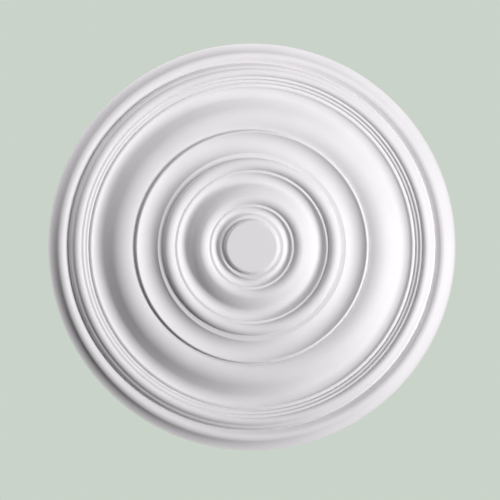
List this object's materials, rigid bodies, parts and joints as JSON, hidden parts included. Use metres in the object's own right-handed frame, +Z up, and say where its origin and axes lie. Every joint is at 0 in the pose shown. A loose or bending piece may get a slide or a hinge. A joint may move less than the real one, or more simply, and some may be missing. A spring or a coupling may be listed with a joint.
{
  "type": "ceiling rose",
  "caption": "Plain round ceiling rose: concentric turned mouldings round a flat blank centre disc, with a flat back that is fixed to the ceiling above a hanging lamp.",
  "frame": {"origin": "centre of the flat back, on the axis, in the plane of the ceiling", "axes": "+Z points up into the ceiling along the axis of symmetry, so the relief hangs towards -Z and is seen from below; X and Y lie in the ceiling plane and are interchangeable, because the rose is round"},
  "size_m": [0.5999, 0.6, 0.0403],
  "materials": {
    "white_primed_foam": "smooth white factory primer, matt, on rigid polyurethane foam; the flat back is left as bare foam skin"
  },
  "bodies": {
    "root": {"ceiling_rose": "white_primed_foam"}
  },
  "joints": []
}
